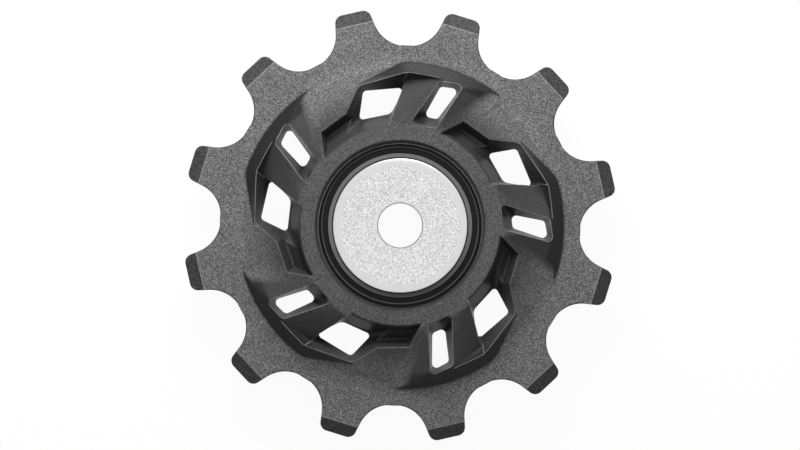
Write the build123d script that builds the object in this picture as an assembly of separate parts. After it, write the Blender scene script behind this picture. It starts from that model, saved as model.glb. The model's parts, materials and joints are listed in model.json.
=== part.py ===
from build123d import *
import os
from math import atan2, cos, degrees, radians, sin, tan

# A derailleur jockey wheel: a moulded toothed wheel on a sealed ball bearing, a centre sleeve
# and two stamped caps. Millimetres and degrees. The axle runs along Z through the origin, which
# lies midway between the caps. Both faces of the wheel are alike, mirrored about Z = 0.

# Chain and teeth
tooth_count = 12
first_tooth_azimuth = 12.75
chain_pitch = 12.7
roller_diameter = 7.75
roller_clearance = 0.025
root_flat = 0.416
tip_rise = 0.52
tip_corner_radius = 0.95
flank_angle = 10.0
rim_thickness = 2.0
tip_thickness = 0.9
tip_bevel_length = 1.45
tooth_edge_radius = 0.12

# Hub and bearing seat
hub_overhang = 0.25
hub_wall = 2.05
hub_flare = 1.2
hub_edge_radius = 0.25
seat_lead_width = 0.32
seat_lead_depth = 0.25

# Dished web between the hub and the rim
arm_count = 5
rim_band = 1.78
dish_slope = 13.0
dish_blend_radius = 8.0

# Ridge in each fifth of the web: an outer slope, a tail that runs out on the arm to its left,
# and a facet that falls to the arm on its right
ridge_slope = 40.5
ridge_lip_width = 1.48
ridge_point_azimuth = 53.0
ridge_bend_azimuth = 89.0
ridge_bend_radius = 6.0
tail_azimuth = 112.4
facet_azimuth = -15.0
facet_slope = 18.3
facet_crease_azimuth = 58.0
facet_blend_radius = 6.0

# Through window left of the spoke. Its waist is at mid-plane, and its mouth is level with the hub's
# face. Outer corners, left then right, step in from the lip circle. Inner corners, right then left,
# step out from the hub at the same height.
window_waist_outer_steps = (1.35, 1.51)
window_waist_outer_azimuths = (105.25, 87.76)
window_waist_inner_steps = (0.16, 0.26)
window_waist_inner_azimuths = (94.63, 111.15)
window_mouth_outer_steps = (0.18, -0.82)
window_mouth_outer_azimuths = (107.75, 86.32)
window_mouth_inner_steps = (-0.25, 0.65)
window_mouth_inner_azimuths = (97.03, 131.8)
window_waist_radii = (0.5, 0.45, 1.0, 0.4)
window_mouth_radii = (1.5, 0.1, 0.65, 0.35)

# Through slot right of the spoke, with corners given in the same way
slot_waist_outer_steps = (0.75, 0.3)
slot_waist_outer_azimuths = (73.6, 66.28)
slot_waist_inner_steps = (0.2, 0.1)
slot_waist_inner_azimuths = (70.55, 77.5)
slot_mouth_outer_steps = (0.14, -0.47)
slot_mouth_outer_azimuths = (74.9, 65.24)
slot_mouth_inner_steps = (0.32, 0.23)
slot_mouth_inner_azimuths = (69.8, 84.2)
slot_corner_radius = 0.5

# Spoke between the window and the slot: a twisted face that leaves the hub's face level and
# falls most at its outer left corner, below the ridge's lip
spoke_start = 0.5
spoke_overrun = 0.8
spoke_inner_span = (-1.7, 2.1)
spoke_outer_span = (1.2, 6.76)
spoke_left_drop = 2.47
spoke_right_drop = 0.37
lip_wall_slope = 50.5
lip_wall_azimuth = 78.3
lip_vertex_azimuth = 87.7
lip_vertex_rise = 0.26

# Trench between the hub and each arm, with a long slope on the hub's side
trench_azimuth = 55.0
trench_floor = 0.87
trench_wall_draft = 33.0
trench_hub_draft = 52.7
trench_end_draft = 24.2
trench_end_azimuth = 122.4
trench_corner_azimuth = 57.4
trench_run = 4.6
trench_foot_step = 0.45
trench_floor_width = 0.27

# Ball bearing, outwards from its bore
bearing_bore = 10.0
inner_ring_wall = 1.45
land_gap = 1.6
outer_ring_wall = 1.45
seal_rim_wall = 0.58
seal_pocket_depth = 0.65
ring_chamfer = 0.15
rim_chamfer = 0.08
ball_count = 10
ball_diameter = 2.38
ball_clearance = 0.05
race_ease = 0.11

# Ball cage
cage_thickness = 0.3
cage_side_gap = 0.3
cage_clearance = 0.1
cage_seal_gap = 0.26
rivet_diameter = 0.5
rivet_head_diameter = 0.8
rivet_head_height = 0.2

# Seals
seal_thickness = 0.5
seal_lip_clearance = 0.1
seal_ridge_width = 0.45
seal_ridge_height = 0.4
seal_ridge_gap = 0.1

# Centre sleeve and caps
axle_hole_diameter = 5.1
sleeve_overhang = 0.5
cap_overlap = 1.275
cap_sheet = 0.8
cap_edge_radius = 1.25
cap_skirt_drop = 0.5
cap_hole_chamfer = 0.12

# Sizes worked out from these
half_pitch_angle = 180 / tooth_count
pitch_radius = chain_pitch / (2 * sin(radians(half_pitch_angle)))
root_radius = pitch_radius - roller_diameter / 2
roller_seat_radius = roller_diameter / 2 + roller_clearance
tip_radius = pitch_radius + tip_rise
rim_face = rim_thickness / 2

inner_land_radius = bearing_bore / 2 + inner_ring_wall
outer_land_radius = inner_land_radius + land_gap
seat_radius = outer_land_radius + outer_ring_wall
pocket_radius = seat_radius - seal_rim_wall
ball_radius = ball_diameter / 2
ball_circle_radius = (inner_land_radius + outer_land_radius) / 2
ball_step = 360 / ball_count
race_radius = ball_radius + race_ease

cage_hollow_radius = ball_radius + cage_clearance
cage_dome_radius = cage_hollow_radius + cage_thickness
seal_seat = cage_dome_radius + cage_seal_gap
bearing_face = seal_seat + seal_pocket_depth

hub_face = bearing_face + hub_overhang
hub_face_radius = seat_radius + hub_wall
hub_base_radius = hub_face_radius + hub_flare

ridge_radius = root_radius - rim_band
lip_radius = ridge_radius - ridge_lip_width
sector_angle = 360 / arm_count

axle_hole_radius = axle_hole_diameter / 2
sleeve_end = bearing_face + sleeve_overhang
cap_face = sleeve_end + cap_sheet
cap_radius = inner_land_radius + cap_overlap

# Larger than the wheel, for cutting tools
reach = 4 * tip_radius


def polar(radius, azimuth):
    """The plan point at a radius and an azimuth."""
    return (radius * cos(radians(azimuth)), radius * sin(radians(azimuth)))


def inside_lip(steps, azimuths):
    """Plan points at steps in from the lip circle."""
    return [polar(lip_radius - step, azimuth) for step, azimuth in zip(steps, azimuths)]


def outside_hub(hub_radius, steps, azimuths):
    """Plan points at steps out from the hub, where it has the given radius."""
    return [polar(hub_radius + step, azimuth) for step, azimuth in zip(steps, azimuths)]


def rounded_face(corners, radii, height):
    """A level face with rounded corners at a height."""
    outline = FilletPolyline(*corners, radius=radii, close=True)
    return Pos(0, 0, height) * make_face(outline)


def turned(corners, radii=0.0):
    """A ring turned about Z from a closed section of (radius, height) corners."""
    section = make_face(FilletPolyline(*corners, radius=radii, close=True))
    return revolve(Plane.XZ * section, Axis.Z)


def ring(inner_radius, outer_radius, low, high):
    """A plain ring between two heights."""
    return turned([(inner_radius, low), (outer_radius, low), (outer_radius, high), (inner_radius, high)])


def below_plane(point, azimuth, slope):
    """Everything below a plane through a point that falls towards an azimuth."""
    block = Pos(0, 0, -reach / 2) * Box(reach, reach, reach)
    return Location(point) * Rot(Z=azimuth) * Rot(Y=slope) * block


def above_plane(point, azimuth, slope):
    """Everything above a plane through a point that falls towards an azimuth."""
    block = Pos(0, 0, reach / 2) * Box(reach, reach, reach)
    return Location(point) * Rot(Z=azimuth) * Rot(Y=slope) * block


def crossing(line_a, line_b):
    """Where two plan lines cross. A line is its distance from the axis and its normal's azimuth."""
    distance_a, azimuth_a = line_a
    distance_b, azimuth_b = line_b
    turn = sin(radians(azimuth_b - azimuth_a))
    x = distance_a * sin(radians(azimuth_b)) - distance_b * sin(radians(azimuth_a))
    y = distance_b * cos(radians(azimuth_a)) - distance_a * cos(radians(azimuth_b))
    return (x / turn, y / turn)


def offset_corners(corners, drafts, rise):
    """A clockwise outline with each side moved out by its own draft over a rise.

    Side i runs from corner i to the next one.
    """
    lines = []
    count = len(corners)
    for i, draft in enumerate(drafts):
        start = Vector(*corners[i])
        along = Vector(*corners[(i + 1) % count]) - start
        outward = Vector(-along.Y, along.X).normalized()
        distance = start.dot(outward) + rise * tan(radians(draft))
        lines.append((distance, degrees(atan2(outward.Y, outward.X))))
    return [crossing(lines[i - 1], lines[i]) for i in range(count)]


def all_sectors(shape):
    """The shape repeated in each fifth of the wheel."""
    return [Rot(Z=sector_angle * i) * shape for i in range(arm_count)]


def tooth_outline():
    """The toothed edge: straight flanks, rounded tips and roller seats either side of a short flat."""
    across = sin(radians(half_pitch_angle))
    along = cos(radians(half_pitch_angle))
    lean = tan(radians(flank_angle))
    # In the tooth's own frame, the flank touches the roller seat, whose centre is here
    seat_reach = root_radius + roller_seat_radius
    seat_x = seat_reach * across - root_flat / 2 * along
    seat_y = seat_reach * along + root_flat / 2 * across
    half_tip = seat_x - roller_seat_radius / cos(radians(flank_angle)) + (seat_y - tip_radius) * lean
    # The flank meets the flat of the tooth gap here
    root_y = (root_radius - across * (half_tip + tip_radius * lean)) / (along - across * lean)
    root_x = half_tip + (tip_radius - root_y) * lean
    corners = []
    radii = []
    for i in range(tooth_count):
        turn = Rot(Z=first_tooth_azimuth - 90 + 2 * half_pitch_angle * i)
        flank = [(root_x, root_y), (half_tip, tip_radius), (-half_tip, tip_radius), (-root_x, root_y)]
        corners += [(turn * Pos(*point)).position for point in flank]
        radii += [roller_seat_radius, tip_corner_radius, tip_corner_radius, roller_seat_radius]
    return rounded_face(corners, radii, 0)


def toothed_disc():
    """The upper half of the toothed disc, with its top edge rounded."""
    disc = extrude(tooth_outline(), amount=rim_face)
    return fillet(disc.edges().group_by(Axis.Z)[-1], tooth_edge_radius)


def tip_bevels():
    """Wedges that thin each tooth towards its tip."""
    drop = (rim_face - tip_thickness / 2) / tip_bevel_length
    start = tip_radius - tip_bevel_length
    past = tip_radius + tip_bevel_length
    section = make_face(Polyline((start, rim_face), (past, rim_face),
                                 (past, rim_face - drop * (past - start)), close=True))
    wedge = extrude(Plane.XZ * section, amount=chain_pitch / 2, both=True)
    step = 2 * half_pitch_angle
    return [Rot(Z=first_tooth_azimuth + step * i) * wedge for i in range(tooth_count)]


def dish():
    """The web's turned upper surface, which rises from the rim towards the hub."""
    rise = (ridge_radius - hub_face_radius) * tan(radians(dish_slope))
    outer = ridge_radius + dish_blend_radius * tan(radians(dish_slope))
    corners = [(0, 0), (outer, 0), (outer, rim_face), (ridge_radius, rim_face),
               (hub_face_radius, rim_face + rise), (0, rim_face + rise)]
    return turned(corners, [0, 0, 0, dish_blend_radius, 0, 0])


def tilted(azimuth, slope):
    """The unit normal of a plane that falls towards an azimuth."""
    return Vector(*polar(sin(radians(slope)), azimuth), cos(radians(slope)))


def ridge_cone():
    """The cone that the outer slopes of all ridges lie on, up to the height of the hub's face."""
    run = 1 / tan(radians(ridge_slope))
    return Cone(ridge_radius + rim_face * run, ridge_radius - (hub_face - rim_face) * run, hub_face,
                align=(Align.CENTER, Align.CENTER, Align.MIN))


def ridge():
    """The raised block round the slot: an outer cone, a flat tail and a flat right-hand facet."""
    tail = below_plane((*polar(ridge_radius, ridge_bend_azimuth), rim_face), tail_azimuth, ridge_slope)
    facet = below_plane((*polar(ridge_radius, ridge_point_azimuth), rim_face), facet_azimuth, facet_slope)
    # The block starts inside the window and ends on the arm to the right
    inside_window = window_waist_outer_azimuths[0]
    plan = [polar(seat_radius, inside_window), polar(lip_radius - ridge_lip_width, inside_window),
            polar(lip_radius, window_mouth_outer_azimuths[0]), polar(tip_radius, tail_azimuth),
            polar(tip_radius, ridge_bend_azimuth), polar(tip_radius, facet_azimuth + 90),
            polar(tip_radius, ridge_point_azimuth - 1), polar(seat_radius, ridge_point_azimuth)]
    footprint = extrude(make_face(Polyline(*plan, close=True)), amount=hub_face)
    block = ridge_cone() & tail & facet & footprint
    bend = Vector(*polar(ridge_radius, ridge_bend_azimuth), rim_face)
    return fillet(block.edges().sort_by_distance(bend)[0], ridge_bend_radius)


def facet_blend():
    """A prism along the crease of facet and arm, hollowed by a cylinder that touches both."""
    facet_normal = tilted(facet_azimuth, facet_slope)
    arm_normal = tilted(facet_crease_azimuth, dish_slope)
    point = Vector(*polar(ridge_radius, ridge_point_azimuth), rim_face)
    foot = Vector(*polar(ridge_radius, facet_crease_azimuth), rim_face)
    climb = Vector(*polar(-1, facet_crease_azimuth), tan(radians(dish_slope)))
    start = foot + climb * (facet_normal.dot(point - foot) / facet_normal.dot(climb))
    upward = (facet_normal + arm_normal).normalized()
    lean = radians(facet_normal.get_angle(arm_normal) / 2)
    centre = facet_blend_radius / cos(lean)
    depth = facet_blend_radius * tan(lean)
    touch_x = centre - facet_blend_radius * cos(lean)
    touch_y = facet_blend_radius * sin(lean)
    section = make_face(Polyline((touch_x, touch_y), (touch_x, -touch_y), (-depth, 0), close=True))
    section -= Pos(centre, 0) * Circle(facet_blend_radius)
    across = Plane(start, x_dir=upward, z_dir=facet_normal.cross(arm_normal))
    return extrude(across * section, amount=ridge_radius - seat_radius, both=True) & ridge_cone()


def window():
    """The through window, wider at its mouth than at mid-plane."""
    waist = inside_lip(window_waist_outer_steps, window_waist_outer_azimuths)
    waist += outside_hub(hub_base_radius, window_waist_inner_steps, window_waist_inner_azimuths)
    mouth = inside_lip(window_mouth_outer_steps, window_mouth_outer_azimuths)
    mouth += outside_hub(hub_face_radius, window_mouth_inner_steps, window_mouth_inner_azimuths)
    low = rounded_face(waist, window_waist_radii, 0)
    high = rounded_face(mouth, window_mouth_radii, hub_face)
    return loft([low, high], ruled=True)


def slot():
    """The through slot, wider at its mouth than at mid-plane."""
    waist = inside_lip(slot_waist_outer_steps, slot_waist_outer_azimuths)
    waist += outside_hub(hub_base_radius, slot_waist_inner_steps, slot_waist_inner_azimuths)
    mouth = inside_lip(slot_mouth_outer_steps, slot_mouth_outer_azimuths)
    mouth += outside_hub(hub_face_radius, slot_mouth_inner_steps, slot_mouth_inner_azimuths)
    low = rounded_face(waist, slot_corner_radius, 0)
    high = rounded_face(mouth, slot_corner_radius, hub_face)
    return loft([low, high], ruled=True)


def spoke_recess():
    """What is taken off above the spoke's twisted face, up to the wall under the ridge's lip."""
    inner_y = hub_face_radius + spoke_start
    outer_y = lip_radius + spoke_overrun
    inner_left, inner_right = spoke_inner_span
    outer_left, outer_right = spoke_outer_span
    top = 2 * hub_face
    inner = make_face(Polyline((inner_left, inner_y, hub_face), (inner_right, inner_y, hub_face),
                               (inner_right, inner_y, top), (inner_left, inner_y, top), close=True))
    outer = make_face(Polyline((outer_left, outer_y, hub_face - spoke_left_drop),
                               (outer_right, outer_y, hub_face - spoke_right_drop),
                               (outer_right, outer_y, top), (outer_left, outer_y, top), close=True))
    vertex_radius = lip_radius + lip_vertex_rise
    vertex_height = rim_face + (ridge_radius - vertex_radius) * tan(radians(ridge_slope))
    vertex = (*polar(vertex_radius, lip_vertex_azimuth), vertex_height)
    return loft([inner, outer], ruled=True) & above_plane(vertex, lip_wall_azimuth + 180, lip_wall_slope)


def trench():
    """The groove between the hub and the arm, open to the next window and closed at its left end."""
    outer_line = (hub_base_radius + trench_foot_step, trench_azimuth)
    inner_line = (outer_line[0] - trench_floor_width, trench_azimuth)
    past_foot = radians(trench_corner_azimuth - trench_azimuth)
    corner = Vector(*polar(outer_line[0] / cos(past_foot), trench_corner_azimuth))
    end_line = (corner.dot(Vector(*polar(1, trench_end_azimuth))), trench_end_azimuth)
    open_line = (trench_run, trench_azimuth - 90)
    low = [crossing(end_line, outer_line), crossing(outer_line, open_line),
           crossing(open_line, inner_line), crossing(inner_line, end_line)]
    rise = hub_face - trench_floor
    high = offset_corners(low, [trench_wall_draft, 0, trench_hub_draft, trench_end_draft], rise)
    return loft([rounded_face(low, 0, trench_floor), rounded_face(high, 0, hub_face)], ruled=True)


def hub():
    """The hub's flared drum, round at the edge of its face."""
    return turned([(0, 0), (hub_base_radius, 0), (hub_face_radius, hub_face), (0, hub_face)],
                  [0, 0, hub_edge_radius, 0])


def bearing_seat():
    """The through bore for the bearing, with a lead at the hub's face."""
    lead = seat_radius + seat_lead_width
    return turned([(0, 0), (seat_radius, 0), (seat_radius, hub_face - seat_lead_depth),
                   (lead, hub_face), (0, hub_face)])


def pulley_wheel():
    """The moulded wheel: the upper half and its mirror image."""
    half = toothed_disc() - tip_bevels()
    half += dish()
    half += all_sectors(ridge())
    half += all_sectors(facet_blend())
    half -= all_sectors(window())
    half -= all_sectors(slot())
    half -= all_sectors(spoke_recess())
    half -= all_sectors(trench())
    half += hub()
    half -= bearing_seat()
    return half + mirror(half, about=Plane.XY)


def bearing_outer_ring():
    """The outer ring: a ball groove, and a pocket for a seal at each face."""
    corners = [(pocket_radius + rim_chamfer, bearing_face), (pocket_radius, bearing_face - rim_chamfer),
               (pocket_radius, seal_seat), (outer_land_radius, seal_seat),
               (outer_land_radius, -seal_seat), (pocket_radius, -seal_seat),
               (pocket_radius, rim_chamfer - bearing_face), (pocket_radius + rim_chamfer, -bearing_face),
               (seat_radius - ring_chamfer, -bearing_face), (seat_radius, ring_chamfer - bearing_face),
               (seat_radius, bearing_face - ring_chamfer), (seat_radius - ring_chamfer, bearing_face)]
    groove_centre = ball_circle_radius + ball_radius + ball_clearance - race_radius
    return turned(corners) - Torus(groove_centre, race_radius)


def bearing_inner_ring():
    """The inner ring, with a ball groove."""
    bore = bearing_bore / 2
    corners = [(bore + ring_chamfer, bearing_face), (bore, bearing_face - ring_chamfer),
               (bore, ring_chamfer - bearing_face), (bore + ring_chamfer, -bearing_face),
               (inner_land_radius, -bearing_face), (inner_land_radius, bearing_face)]
    groove_centre = ball_circle_radius - ball_radius - ball_clearance + race_radius
    return turned(corners) - Torus(groove_centre, race_radius)


def ball_places():
    """The centres of the balls."""
    return [Pos(*polar(ball_circle_radius, ball_step * i)) for i in range(ball_count)]


def rivet_places():
    """The centres of the rivets, midway between the balls."""
    return [Pos(*polar(ball_circle_radius, ball_step * (i + 0.5))) for i in range(ball_count)]


def cage_half():
    """The upper half of the cage: flat lands between the balls and a dome over each one."""
    inner = inner_land_radius + cage_side_gap
    outer = outer_land_radius - cage_side_gap
    band = ring(inner, outer, 0, cage_dome_radius)
    domes = [place * Sphere(cage_dome_radius) for place in ball_places()]
    hollows = [place * Sphere(cage_hollow_radius) for place in ball_places()]
    holes = [place * Cylinder(rivet_diameter / 2, 2 * cage_dome_radius) for place in rivet_places()]
    shell = ring(inner, outer, 0, cage_thickness) + domes
    return (shell & band) - hollows - holes


def cage_rivets():
    """Rivets with a head on each side, as a group of separate solids."""
    shank = Cylinder(rivet_diameter / 2, 2 * cage_thickness)
    head = Cylinder(rivet_head_diameter / 2, rivet_head_height)
    lift = cage_thickness + rivet_head_height / 2
    rivet = shank + Pos(0, 0, lift) * head + Pos(0, 0, -lift) * head
    return Compound([place * rivet for place in rivet_places()])


def seal_upper():
    """The upper seal: a disc in the outer ring's pocket, with a raised ring round the cap's edge."""
    inner = inner_land_radius + seal_lip_clearance
    top = seal_seat + seal_thickness
    ridge_inner = cap_radius + seal_ridge_gap
    ridge_outer = ridge_inner + seal_ridge_width
    ridge_top = top + seal_ridge_height
    return turned([(inner, seal_seat), (pocket_radius, seal_seat), (pocket_radius, top), (ridge_outer, top),
                   (ridge_outer, ridge_top), (ridge_inner, ridge_top), (ridge_inner, top), (inner, top)])


def centre_sleeve():
    """The sleeve through the bearing's bore, which takes the axle bolt."""
    return ring(axle_hole_radius, bearing_bore / 2, -sleeve_end, sleeve_end)


def cap_upper():
    """The upper stamped cap: a flat disc with its edge bent down over the seal."""
    inner_bend = cap_edge_radius - cap_sheet
    skirt_inner = cap_radius - cap_sheet
    skirt_end = sleeve_end - cap_skirt_drop
    corners = [(axle_hole_radius, sleeve_end), (axle_hole_radius, cap_face - cap_hole_chamfer),
               (axle_hole_radius + cap_hole_chamfer, cap_face), (cap_radius, cap_face),
               (cap_radius, skirt_end), (skirt_inner, skirt_end), (skirt_inner, sleeve_end)]
    return turned(corners, [0, 0, 0, cap_edge_radius, 0, 0, inner_bend])


def write_parts():
    """One file for each piece."""
    upper_cage = cage_half()
    upper_seal = seal_upper()
    upper_cap = cap_upper()
    pieces = {
        "pulley_wheel": pulley_wheel(),
        "bearing_outer_ring": bearing_outer_ring(),
        "bearing_inner_ring": bearing_inner_ring(),
        "cage_half_upper": upper_cage,
        "cage_half_lower": mirror(upper_cage, about=Plane.XY),
        "cage_rivets": cage_rivets(),
        "seal_upper": upper_seal,
        "seal_lower": mirror(upper_seal, about=Plane.XY),
        "centre_sleeve": centre_sleeve(),
        "cap_upper": upper_cap,
        "cap_lower": mirror(upper_cap, about=Plane.XY),
    }
    for i, place in enumerate(ball_places()):
        pieces[f"ball_{i + 1:02d}"] = place * Sphere(ball_radius)
    os.makedirs("parts", exist_ok=True)
    for name, piece in pieces.items():
        export_step(piece, f"parts/{name}.step")


write_parts()
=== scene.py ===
import json
from math import cos, pi, radians, sin

import bpy
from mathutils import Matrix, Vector


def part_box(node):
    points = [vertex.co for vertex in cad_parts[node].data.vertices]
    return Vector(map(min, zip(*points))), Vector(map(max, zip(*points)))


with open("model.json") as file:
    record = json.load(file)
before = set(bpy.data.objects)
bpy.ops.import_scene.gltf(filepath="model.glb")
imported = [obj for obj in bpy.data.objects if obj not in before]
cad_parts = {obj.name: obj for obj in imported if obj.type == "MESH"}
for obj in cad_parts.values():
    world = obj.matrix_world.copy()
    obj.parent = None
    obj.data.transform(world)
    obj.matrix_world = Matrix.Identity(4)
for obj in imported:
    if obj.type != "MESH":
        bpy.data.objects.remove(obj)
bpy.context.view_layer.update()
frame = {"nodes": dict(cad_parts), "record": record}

# A derailleur jockey wheel that lies flat, seen from straight above. Metres, in the frame of the
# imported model: the axle is the Z axis, and the origin lies midway between the two caps.
millimetre = 0.001

# The photograph's frame, in its pixels: where the axle lies, pixels to the metre at the rim's face,
# and the turn in degrees
photo_size = (800, 450)
photo_axle = (400.1, 225.47)
photo_scale = 8698
photo_turn = 0.125
rim_face = 1.0 * millimetre
camera_height = 1.0
sensor_width = 36.0

# Heights that the floor and the finish of the seals follow
floor_gap = 0.05 * millimetre
floor_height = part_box("cap_lower")[0].z - floor_gap
seal_ridge_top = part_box("seal_upper")[1].z

# Distances from the axle between which one finish, or the arms' painted shade, passes into the next
hole_edge = (2.6 * millimetre, 2.65 * millimetre)
hub_edge = (11.55 * millimetre, 12.47 * millimetre)
arm_shade_span = (13.4 * millimetre, 17.72 * millimetre)
feet_start = (16.86 * millimetre, 17.54 * millimetre)
rim_start = (18.9 * millimetre, 19.66 * millimetre)
feet_end = (19.28 * millimetre, 19.85 * millimetre)
tip_start = (22.8 * millimetre, 23.15 * millimetre)

# Two painted highlights, fine lines round the face of the bearing's outer ring, by their distance from the
# axle
inner_highlight_radius = 8.96 * millimetre
outer_highlight_radius = 9.45 * millimetre


class Socket:
    """An output socket. Operators on it add Math nodes and give the result's socket."""

    def __init__(self, finish, output):
        self.finish = finish
        self.output = output

    def math(self, operation, *values):
        settings = {"operation": operation}
        return self.finish.node("ShaderNodeMath", settings, dict(enumerate(values)))["Value"]

    def __add__(self, other):
        return self.math("ADD", self, other)

    def __radd__(self, other):
        return self.math("ADD", other, self)

    def __sub__(self, other):
        return self.math("SUBTRACT", self, other)

    def __rsub__(self, other):
        return self.math("SUBTRACT", other, self)

    def __mul__(self, other):
        return self.math("MULTIPLY", self, other)

    def __rmul__(self, other):
        return self.math("MULTIPLY", other, self)

    def __pow__(self, other):
        return self.math("POWER", self, other)

    def __rpow__(self, other):
        return self.math("POWER", other, self)

    def __abs__(self):
        return self.math("ABSOLUTE", self)

    def smaller(self, other):
        return self.math("MINIMUM", self, other)

    def larger(self, other):
        return self.math("MAXIMUM", self, other)


class Finish:
    """A node tree: a material's, or the world's."""

    def __init__(self, owner):
        owner.use_nodes = True
        self.owner = owner
        self.tree = owner.node_tree
        self.tree.nodes.clear()

    def node(self, kind, settings, sockets):
        """Adds a node, with its settings first and then the values or links of its sockets.

        Returns its outputs by name. A key of sockets is an input's name, identifier or place.
        """
        node = self.tree.nodes.new(kind)
        for name, value in settings.items():
            setattr(node, name, value)
        for key, value in sockets.items():
            entry = node.inputs[key] if isinstance(key, int) else self.input_named(node, key)
            if isinstance(value, Socket):
                self.tree.links.new(value.output, entry)
            else:
                entry.default_value = value
        outputs = {}
        for output in node.outputs:
            if output.enabled:
                outputs.setdefault(output.name, Socket(self, output))
        return outputs

    @staticmethod
    def input_named(node, key):
        """The first input in use that has this name or identifier."""
        for entry in node.inputs:
            if key in (entry.identifier, entry.name) and entry.enabled:
                return entry
        raise KeyError(key)

    def coordinates(self):
        return self.node("ShaderNodeTexCoord", {}, {})["Object"]

    def place_parts(self):
        """The point on the part, as X, Y and Z."""
        return self.node("ShaderNodeSeparateXYZ", {}, {"Vector": self.coordinates()})

    def radius(self):
        """The distance from the axle."""
        place = self.place_parts()
        return (place["X"] * place["X"] + place["Y"] * place["Y"]) ** 0.5

    def own_normal(self):
        return self.node("ShaderNodeNewGeometry", {}, {})["Normal"]

    def upright(self, normal):
        """How far a normal points along the axle, from 0 to 1."""
        return abs(self.node("ShaderNodeSeparateXYZ", {}, {"Vector": normal})["Z"])

    def noise(self, grain, detail=2.0, roughness=0.5, stretch=(1.0, 1.0, 1.0)):
        """Noise with lumps about one grain long, in metres."""
        vector = self.node("ShaderNodeMapping", {}, {"Vector": self.coordinates(), "Scale": stretch})
        sockets = {"Vector": vector["Vector"], "Scale": 1.0 / grain}
        sockets.update({"Detail": detail, "Roughness": roughness})
        return self.node("ShaderNodeTexNoise", {}, sockets)["Fac"]

    def tool_lines(self, value, spacing, detail):
        """Noise that changes only with a length, in lines about one spacing apart."""
        sockets = {"W": value, "Scale": 1.0 / spacing, "Detail": detail}
        return self.node("ShaderNodeTexNoise", {"noise_dimensions": "1D"}, sockets)["Fac"]

    def flecks(self, grain):
        """A chance value for each small cell about one grain across, from 0 to 1."""
        sockets = {"Vector": self.coordinates(), "Scale": 1.0 / grain}
        colour = self.node("ShaderNodeTexVoronoi", {}, sockets)["Color"]
        return self.node("ShaderNodeSeparateColor", {}, {"Color": colour})["Red"]

    def ramp(self, value, low, high, start=0.0, end=1.0):
        """A smooth step from start to end as value goes from low to high."""
        settings = {"interpolation_type": "SMOOTHSTEP"}
        sockets = {"Value": value, "From Min": low, "From Max": high, "To Min": start, "To Max": end}
        return self.node("ShaderNodeMapRange", settings, sockets)["Result"]

    def mix(self, factor, colour_a, colour_b):
        """Colour a where factor is 0, colour b where it is 1."""
        settings = {"data_type": "RGBA"}
        sockets = {"Factor_Float": factor, "A_Color": colour_a, "B_Color": colour_b}
        return self.node("ShaderNodeMix", settings, sockets)["Result"]

    def mix_normals(self, factor, normal_a, normal_b):
        """Normal a where factor is 0, normal b where it is 1."""
        settings = {"data_type": "VECTOR"}
        sockets = {"Factor_Float": factor, "A_Vector": normal_a, "B_Vector": normal_b}
        return self.node("ShaderNodeMix", settings, sockets)["Result"]

    def flattened(self, normal, share):
        """A normal turned towards the axle's direction: its parts across the axle keep only a share."""
        settings = {"operation": "MULTIPLY"}
        turned = self.node("ShaderNodeVectorMath", settings, {0: normal, 1: (share, share, 1.0)})["Vector"]
        return self.node("ShaderNodeVectorMath", {"operation": "NORMALIZE"}, {0: turned})["Vector"]

    def shade(self, colour, value):
        """A colour made lighter or darker by a value."""
        settings = {"data_type": "RGBA", "blend_type": "MULTIPLY"}
        parts = {"Red": value, "Green": value, "Blue": value}
        level = self.node("ShaderNodeCombineColor", {}, parts)["Color"]
        sockets = {"Factor_Float": 1.0, "A_Color": colour, "B_Color": level}
        return self.node("ShaderNodeMix", settings, sockets)["Result"]

    def soft_edges(self, radius):
        """Normals that round every edge off by a small radius."""
        return self.node("ShaderNodeBevel", {"samples": 6}, {"Radius": radius})["Normal"]

    def turned(self, rounded):
        """How far rounding turns the surface's normal: 0 away from all edges."""
        flat = self.node("ShaderNodeNewGeometry", {}, {})["True Normal"]
        settings = {"operation": "DOT_PRODUCT"}
        return 1.0 - self.node("ShaderNodeVectorMath", settings, {0: rounded, 1: flat})["Value"]

    def outer_edges(self, width, rounded):
        """1 along edges that stand out: thin material close behind, and a normal that rounding turns."""
        settings = {"inside": True, "only_local": True, "samples": 8}
        depth = self.node("ShaderNodeAmbientOcclusion", settings, {"Distance": width})["AO"]
        thin = self.ramp(1.0 - depth, low=0.1, high=0.36)
        return thin * self.ramp(self.turned(rounded), low=0.008, high=0.05)

    def bump(self, height, depth, strength, normal):
        sockets = {"Height": height, "Distance": depth, "Strength": strength, "Normal": normal}
        return self.node("ShaderNodeBump", {}, sockets)["Normal"]

    def seen(self):
        """1 for what the camera sees, also mirrored or through something, and 0 for other light."""
        path = self.node("ShaderNodeLightPath", {}, {})
        rays = path["Is Camera Ray"] + path["Is Glossy Ray"] + path["Is Transmission Ray"]
        return rays.smaller(1.0)

    def surface(self, sockets):
        """Ends the tree in a Principled shader."""
        shader = self.node("ShaderNodeBsdfPrincipled", {}, sockets)["BSDF"]
        self.node("ShaderNodeOutputMaterial", {}, {"Surface": shader})


def new_finish(name):
    return Finish(bpy.data.materials.new(name))


def grey(level):
    return (level, level, level, 1.0)


def ridge_feet(finish, radius):
    """1 where the feet of the ridges run out on the rim, and 0 nearer the axle and further out."""
    return finish.ramp(radius, *feet_start) * finish.ramp(radius, *feet_end, start=1.0, end=0.0)


def tip_highlight_lines(finish, radius):
    """1 along the lines where the bevels of the tooth tips begin, where a highlight is painted."""
    rounded = finish.soft_edges(radius=0.16 * millimetre)
    bent = finish.ramp(finish.turned(rounded), low=0.0015, high=0.006)
    nearly_level = finish.ramp(finish.upright(rounded), low=0.9, high=0.95)
    return bent * nearly_level * finish.ramp(radius, *tip_start)


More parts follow.
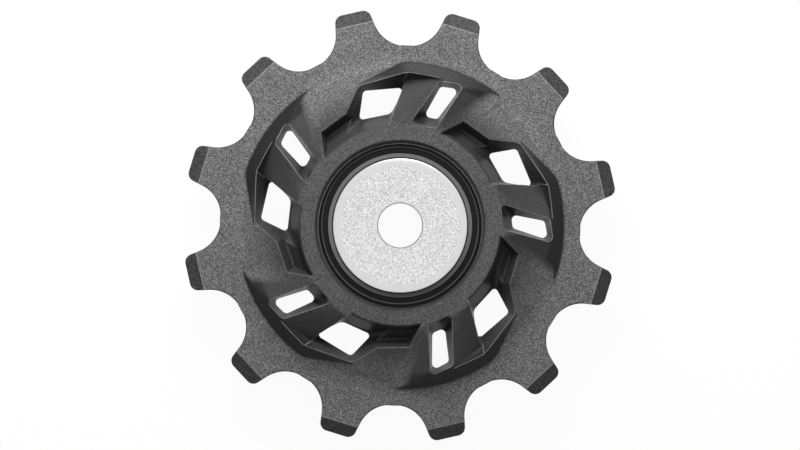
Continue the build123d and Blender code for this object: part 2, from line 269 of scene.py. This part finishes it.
def moulded_plastic():
    """Black plastic: spark-textured and paler where it lies flat, smooth and darker on the slopes, partly
    as painted shade.
    """
    flat_colour = grey(0.1)
    gentle_shaded_colour = grey(0.03)
    steep_shaded_colour = grey(0.025)
    feet_shaded_colour = grey(0.008)
    edge_highlight_colour = grey(0.24)
    finish = new_finish("moulded_plastic")
    radius = finish.radius()
    on_feet = ridge_feet(finish, radius)
    on_rim = finish.ramp(radius, *rim_start)
    # Painted shade: the arms darken towards the hub, with weaker grain there; hub_level lifts the hub
    # itself back up
    hub_level = finish.ramp(radius, *hub_edge, start=1.69, end=1.0)
    arm_painted_shade = finish.ramp(radius, *arm_shade_span, start=0.38, end=1.0)

    # The shape under each point: how level it lies, rounded edges, and the edges on which a highlight is
    # painted
    crisp = finish.soft_edges(radius=0.2 * millimetre)
    rounded = finish.mix_normals(on_feet, crisp, finish.soft_edges(radius=0.45 * millimetre))
    level = finish.upright(rounded).smaller(finish.upright(finish.own_normal()))
    textured = finish.ramp(level, low=0.945, high=0.985)
    gentle = finish.ramp(level, low=0.6, high=0.9)
    edges = finish.outer_edges(0.15 * millimetre, rounded) * (1.0 - on_rim)
    edges = edges + tip_highlight_lines(finish, radius)

    # The grain, in stops: each stop doubles the brightness. Its bright flecks are partly painted glints of
    # the texture's facets
    flecks = finish.flecks(grain=0.08 * millimetre)
    fine = finish.noise(grain=0.14 * millimetre, detail=3.0, roughness=0.6)
    broad = finish.noise(grain=7.0 * millimetre)
    contrast = 0.3 + textured.larger(on_rim) * (0.35 + arm_painted_shade * 0.35)
    stops = ((flecks - 0.5) * 2.7 + (fine - 0.5) * 0.8) * contrast
    grain_and_glints = 2.0 ** stops * (0.85 + broad * 0.3)

    # Painted shade: slopes, and the ridges' feet most, are darker than flats, partly for their smooth
    # finish, partly as shade on faces turned from the light
    shaded_slopes = finish.mix(on_feet, finish.mix(gentle, steep_shaded_colour, gentle_shaded_colour), feet_shaded_colour)
    flats_with_arm_shade = finish.shade(flat_colour, hub_level * arm_painted_shade)
    colour = finish.shade(finish.mix(textured, shaded_slopes, flats_with_arm_shade), grain_and_glints)
    # Painted highlight: a pale line along the outer edges and where the tooth tips' bevels begin
    colour = finish.mix(edges, colour, edge_highlight_colour)
    roughness = 0.38 + textured * 0.2 + (fine - 0.5) * 0.2 - edges * 0.06
    lit = finish.mix_normals(edges, rounded, finish.flattened(rounded, share=0.3))
    grain = flecks * 0.6 + fine * 0.4
    normal = finish.bump(grain, depth=0.03 * millimetre, strength=0.6, normal=lit)
    finish.surface({"Base Color": colour, "Roughness": roughness, "Normal": normal,
                    "Specular IOR Level": 0.2})
    return finish.owner


def stamped_steel():
    """Bright stamped steel, tumbled to a fine speckle on its face, with a dark edge round its hole."""
    bright = (0.7, 0.7, 0.705, 1.0)
    dark = grey(0.1)
    finish = new_finish("stamped_steel")
    on_face = finish.ramp(finish.upright(finish.own_normal()), low=0.93, high=0.995)
    on_hole_edge = finish.ramp(finish.radius(), *hole_edge, start=1.0, end=0.0)
    flecks = finish.flecks(grain=0.075 * millimetre)
    fine = finish.noise(grain=0.1 * millimetre, roughness=0.7)
    specks = finish.ramp(finish.noise(grain=0.2 * millimetre, roughness=0.6), low=0.64, high=0.74)
    broad = finish.noise(grain=4.0 * millimetre)
    stops = (flecks - 0.5) * 1.3 + (fine - 0.5) * 0.7 + (broad - 0.5) * 0.15 - specks * 0.4
    colour = finish.shade(bright, 2.0 ** (stops * (0.2 + on_face * 0.8)))
    colour = finish.mix(on_hole_edge, colour, dark)
    roughness = 0.4 + (fine - 0.5) * 0.3 + specks * 0.1
    rounded = finish.flattened(finish.soft_edges(radius=0.06 * millimetre), share=0.3)
    normal = finish.bump(fine, depth=0.01 * millimetre, strength=0.3, normal=rounded)
    finish.surface({"Base Color": colour, "Metallic": 1.0, "Roughness": roughness, "Normal": normal})
    return finish.owner


def line_round_axle(finish, line_radius):
    """1 on a fine line at this distance from the axle, and 0 away from it."""
    distance = abs(finish.radius() - line_radius)
    return finish.ramp(distance, low=0.05 * millimetre, high=0.1 * millimetre, start=1.0, end=0.0)


def ground_steel():
    """Dark bearing steel with grinding lines that run round the axle, and two paler lines painted as
    highlights of the ring's edges.
    """
    dark = grey(0.006)
    inner_highlight_colour = grey(0.07)
    outer_highlight_colour = grey(0.2)
    finish = new_finish("ground_steel")
    rings = finish.tool_lines(finish.radius(), spacing=0.05 * millimetre, detail=3.0)
    fine = finish.noise(grain=0.2 * millimetre)
    inner_highlight = line_round_axle(finish, inner_highlight_radius)
    outer_highlight = line_round_axle(finish, outer_highlight_radius)
    # Painted highlights: two paler, less metallic lines on the ring's edges
    level = 1.0 + (rings - 0.5) * 0.6 + (fine - 0.5) * 0.3
    colour = finish.mix(inner_highlight, finish.shade(dark, level), inner_highlight_colour)
    colour = finish.mix(outer_highlight, colour, outer_highlight_colour)
    metallic = 0.9 - (inner_highlight + outer_highlight) * 0.8
    roughness = 0.32 + (rings - 0.5) * 0.25
    rounded = finish.soft_edges(radius=0.05 * millimetre)
    normal = finish.bump(rings, depth=0.006 * millimetre, strength=0.3, normal=rounded)
    finish.surface({"Base Color": colour, "Metallic": metallic, "Roughness": roughness, "Normal": normal})
    return finish.owner


def seal_rubber():
    """Black moulded rubber, painted paler on its raised ring as light falling on its top."""
    black = grey(0.005)
    lit_ring_grey = grey(0.11)
    finish = new_finish("seal_rubber")
    fine = finish.noise(grain=0.12 * millimetre, detail=3.0, roughness=0.6)
    broad = finish.noise(grain=3.0 * millimetre)
    height = abs(finish.place_parts()["Z"])
    raised = finish.ramp(height, seal_ridge_top - 0.25 * millimetre, seal_ridge_top - 0.05 * millimetre)
    level = 1.0 + (fine - 0.5) * 0.5 + (broad - 0.5) * 0.25
    # Painted light: the raised ring's top is paler than the rest of the rubber
    colour = finish.mix(raised, finish.shade(black, level), finish.shade(lit_ring_grey, level))
    roughness = 0.6 + (fine - 0.5) * 0.2
    rounded = finish.soft_edges(radius=0.08 * millimetre)
    normal = finish.bump(fine, depth=0.01 * millimetre, strength=0.4, normal=rounded)
    finish.surface({"Base Color": colour, "Roughness": roughness, "Normal": normal,
                    "Specular IOR Level": 0.2})
    return finish.owner


def polished_ball():
    """Lapped chrome steel with a few faint scuffs."""
    chrome = (0.78, 0.79, 0.81, 1.0)
    finish = new_finish("polished_ball")
    patches = finish.noise(grain=0.25 * millimetre, detail=4.0, roughness=0.7)
    scuffs = finish.ramp(patches, low=0.55, high=0.75)
    colour = finish.shade(chrome, 1.0 - scuffs * 0.12)
    roughness = 0.06 + scuffs * 0.16
    finish.surface({"Base Color": colour, "Metallic": 1.0, "Roughness": roughness})
    return finish.owner


def pressed_strip():
    """Pressed steel strip with rolling lines and duller edges."""
    strip = (0.5, 0.49, 0.47, 1.0)
    finish = new_finish("pressed_strip")
    lines = finish.noise(grain=0.1 * millimetre, detail=3.0, roughness=0.6, stretch=(1.0, 1.0, 8.0))
    rounded = finish.soft_edges(radius=0.04 * millimetre)
    edges = finish.outer_edges(0.06 * millimetre, rounded)
    colour = finish.shade(strip, 1.0 + (lines - 0.5) * 0.4 - edges * 0.2)
    roughness = 0.38 + (lines - 0.5) * 0.3
    normal = finish.bump(lines, depth=0.004 * millimetre, strength=0.3, normal=rounded)
    finish.surface({"Base Color": colour, "Metallic": 1.0, "Roughness": roughness, "Normal": normal})
    return finish.owner


def turned_alloy():
    """Turned aluminium with fine tool rings along the axle."""
    alloy = (0.62, 0.63, 0.64, 1.0)
    finish = new_finish("turned_alloy")
    rings = finish.tool_lines(finish.place_parts()["Z"], spacing=0.06 * millimetre, detail=2.0)
    colour = finish.shade(alloy, 1.0 + (rings - 0.5) * 0.3)
    roughness = 0.3 + (rings - 0.5) * 0.25
    rounded = finish.soft_edges(radius=0.05 * millimetre)
    normal = finish.bump(rings, depth=0.008 * millimetre, strength=0.4, normal=rounded)
    finish.surface({"Base Color": colour, "Metallic": 1.0, "Roughness": roughness, "Normal": normal})
    return finish.owner


def dress_nodes():
    """Gives every piece its finish, by the record's material slot."""
    finishes = {
        "wheel_plastic": moulded_plastic(),
        "cap_steel": stamped_steel(),
        "bearing_steel": ground_steel(),
        "ball_steel": polished_ball(),
        "cage_steel": pressed_strip(),
        "seal_rubber": seal_rubber(),
        "sleeve_alloy": turned_alloy(),
    }
    for subpart in frame["record"]["subparts"]:
        piece = frame["nodes"][subpart["node"]]
        piece.material_slots[0].material = finishes[subpart["material_slot"]]


def floor_finish():
    """A pale floor that shows white, with a small share of its own light and shadow."""
    white_share = 0.95
    finish = new_finish("pale_floor")
    dull = finish.node("ShaderNodeBsdfDiffuse", {}, {"Color": grey(0.9)})["BSDF"]
    white = finish.node("ShaderNodeEmission", {}, {"Color": grey(1.0), "Strength": 1.0})["Emission"]
    parts = {"Fac": finish.seen() * white_share, 1: dull, 2: white}
    shader = finish.node("ShaderNodeMixShader", {}, parts)["Shader"]
    finish.node("ShaderNodeOutputMaterial", {}, {"Surface": shader})
    return finish.owner


def add_floor():
    """A flat square under the wheel."""
    half = 3.0
    mesh = bpy.data.meshes.new("floor")
    corners = [(-half, -half, floor_height), (half, -half, floor_height),
               (half, half, floor_height), (-half, half, floor_height)]
    mesh.from_pydata(corners, [], [(0, 1, 2, 3)])
    floor = bpy.data.objects.new("floor", mesh)
    mesh.materials.append(floor_finish())
    bpy.context.scene.collection.objects.link(floor)


def add_panel(name, azimuth, tilt, distance, size, radiance, mirrored=True, lit=True):
    """A soft panel of light that faces the origin, tilted away from the vertical, in degrees.

    It can be left out of reflections (not mirrored), or show in them alone (not lit).
    """
    light = bpy.data.lights.new(name, "AREA")
    light.shape = "RECTANGLE"
    light.size, light.size_y = size
    light.energy = radiance * pi * light.size * light.size_y
    panel = bpy.data.objects.new(name, light)
    outwards = Vector((sin(radians(tilt)) * cos(radians(azimuth)),
                       sin(radians(tilt)) * sin(radians(azimuth)), cos(radians(tilt))))
    panel.location = outwards * distance
    panel.rotation_euler = outwards.to_track_quat("Z", "Y").to_euler()
    panel.visible_camera = False
    panel.visible_glossy = mirrored
    panel.visible_diffuse = lit
    bpy.context.scene.collection.objects.link(panel)


def light_studio():
    """Four soft panels under a sky that shows white and sheds little light."""
    add_panel("overhead", azimuth=110.0, tilt=4.0, distance=0.6, size=(0.5, 0.5), radiance=0.3,
              mirrored=False)
    add_panel("key", azimuth=97.0, tilt=63.0, distance=0.16, size=(0.16, 0.12), radiance=12.5,
              mirrored=False)
    add_panel("sheen", azimuth=82.0, tilt=79.0, distance=0.2, size=(0.11, 0.07), radiance=8.0,
              lit=False)
    add_panel("side", azimuth=-30.0, tilt=55.0, distance=0.3, size=(0.25, 0.25), radiance=0.4,
              mirrored=False)
    world = bpy.data.worlds.new("studio")
    bpy.context.scene.world = world
    finish = Finish(world)
    plain = finish.node("ShaderNodeBackground", {}, {"Color": grey(1.0), "Strength": 0.12})["Background"]
    white = finish.node("ShaderNodeBackground", {}, {"Color": grey(1.0), "Strength": 1.0})["Background"]
    sky = finish.node("ShaderNodeMixShader", {}, {"Fac": finish.seen(), 1: plain, 2: white})["Shader"]
    finish.node("ShaderNodeOutputWorld", {}, {"Surface": sky})


def add_camera():
    """Straight above the wheel, with the photograph's scale at the rim's face."""
    lens = bpy.data.cameras.new("camera")
    lens.sensor_width = sensor_width
    view_width = photo_size[0] / photo_scale
    lens.lens = sensor_width * (camera_height - rim_face) / view_width
    lens.clip_start = 0.01
    camera = bpy.data.objects.new("camera", lens)
    aside = (photo_size[0] / 2 - photo_axle[0]) / photo_scale
    above = (photo_axle[1] - photo_size[1] / 2) / photo_scale
    camera.location = (aside, above, camera_height)
    camera.rotation_euler = (0.0, 0.0, -radians(photo_turn))
    bpy.context.scene.collection.objects.link(camera)
    bpy.context.scene.camera = camera


dress_nodes()
add_floor()
light_studio()
add_camera()
bpy.context.scene.view_settings.view_transform = "Standard"
